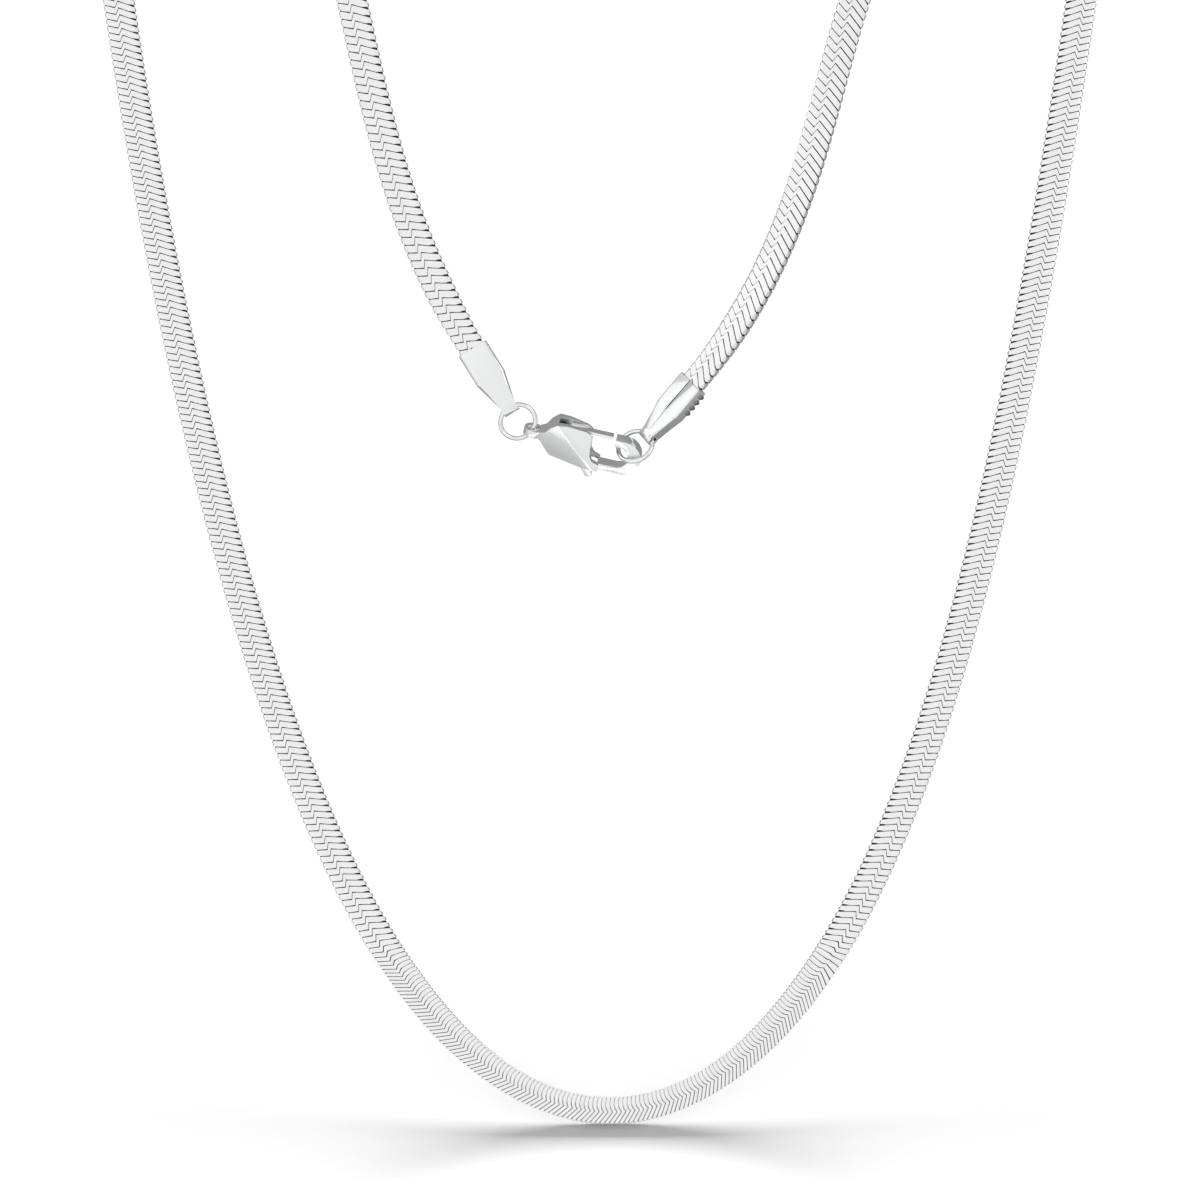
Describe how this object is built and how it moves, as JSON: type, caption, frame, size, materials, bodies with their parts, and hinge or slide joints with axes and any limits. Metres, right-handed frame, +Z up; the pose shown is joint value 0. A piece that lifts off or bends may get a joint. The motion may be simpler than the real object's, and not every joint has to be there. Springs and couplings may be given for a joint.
{
  "type": "herringbone chain necklace with lobster clasp, in its hanging form",
  "caption": "Flat herringbone chain necklace hanging over a round rest, its folded end caps joined by jump rings and a lobster clasp.",
  "frame": {"origin": "underside of the chain at the top of the round rest it hangs over, halfway between its two strands", "axes": "+X to the right as seen from the front, +Y to the back where the clasp hangs, +Z up"},
  "size_m": [0.1088, 0.0364, 0.1518],
  "materials": {
    "chain_metal": "bright silver-coloured metal, satin from its fine links",
    "polished_metal": "polished silver-coloured metal"
  },
  "bodies": {
    "necklace": {"chain_left": "chain_metal", "chain_right": "chain_metal", "end_cap_left": "polished_metal", "end_cap_right": "polished_metal", "jump_ring_left": "polished_metal", "jump_ring_right": "polished_metal", "clasp_body": "polished_metal"},
    "gate": {"clasp_lever": "polished_metal"}
  },
  "joints": [
    {"name": "lever_hinge", "type": "hinge", "parent": "necklace", "child": "gate", "pos_m": [-0.00301, 0.01716, -0.07595], "axis": [0.1056, 0.883, 0.4574], "range_deg": [0, 25], "stiffness_Nm_per_rad": 0.006, "springref_deg": -11.46}
  ]
}
